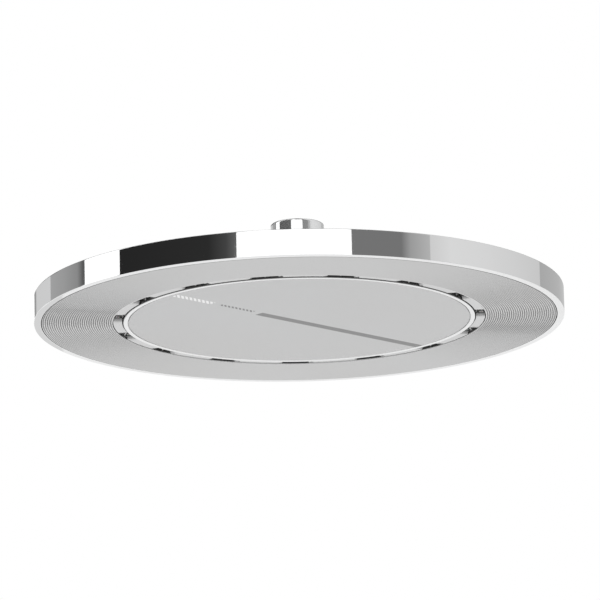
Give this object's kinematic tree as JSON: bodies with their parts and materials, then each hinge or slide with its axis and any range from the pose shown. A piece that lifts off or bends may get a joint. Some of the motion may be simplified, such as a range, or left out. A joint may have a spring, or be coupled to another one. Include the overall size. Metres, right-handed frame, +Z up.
{
  "type": "overhead rain shower head",
  "caption": "Thin round chrome overhead rain shower head with a ridged face ring, small jet pockets round a satin centre disc, and a swivel ball inlet for a pipe thread.",
  "frame": {"origin": "centre of the inlet's mouth, where the supply pipe screws in", "axes": "+Z up along the inlet's thread, +X along the printed stripe of the face"},
  "size_m": [0.25, 0.25, 0.047],
  "materials": {
    "chrome": "polished chrome plate",
    "satin_disc": "satin, fine grained, with a printed stripe",
    "satin_ring": "satin silver with fine concentric ridges",
    "brass": "machined",
    "acetal": "smooth moulded",
    "grey_plastic": "moulded",
    "black_rubber": "matte",
    "silicone": "matte translucent",
    "steel": "plain stainless"
  },
  "bodies": {
    "stem": {"ball_stem": "chrome", "filter_washer": "black_rubber", "filter_screen": "steel", "flow_regulator": "acetal", "regulator_o_ring": "black_rubber"},
    "lower_seat": {"lower_liner": "acetal", "ball_seal": "black_rubber", "cup_seal": "black_rubber"},
    "upper_seat": {"upper_liner": "acetal"},
    "head": {"retaining_nut": "chrome", "nut_washer": "acetal", "inlet_hub": "brass", "hub_gasket": "black_rubber", "hub_screws": "steel", "back_shell": "chrome", "manifold_cover": "grey_plastic", "manifold_seals": "silicone", "manifold_base": "grey_plastic", "manifold_screws": "steel", "duct_screws": "steel", "nozzle_ring": "silicone", "jet_ring": "chrome", "face_ring": "satin_ring", "rim_seal": "black_rubber", "disc_carrier": "grey_plastic", "centre_disc": "satin_disc", "disc_bezel": "chrome", "centre_screw": "steel", "centre_seal": "black_rubber"}
  },
  "joints": [
    {"name": "tilt_x", "type": "hinge", "parent": "stem", "child": "lower_seat", "pos_m": [0, 0, -0.0265], "axis": [1, 0, 0], "range_deg": [-12, 12]},
    {"name": "tilt_y", "type": "hinge", "parent": "lower_seat", "child": "upper_seat", "pos_m": [0, 0, -0.0265], "axis": [0, 1, 0], "range_deg": [-12, 12]},
    {"name": "spin", "type": "hinge", "parent": "upper_seat", "child": "head", "pos_m": [0, 0, -0.0265], "axis": [0, 0, 1], "continuous": true}
  ]
}
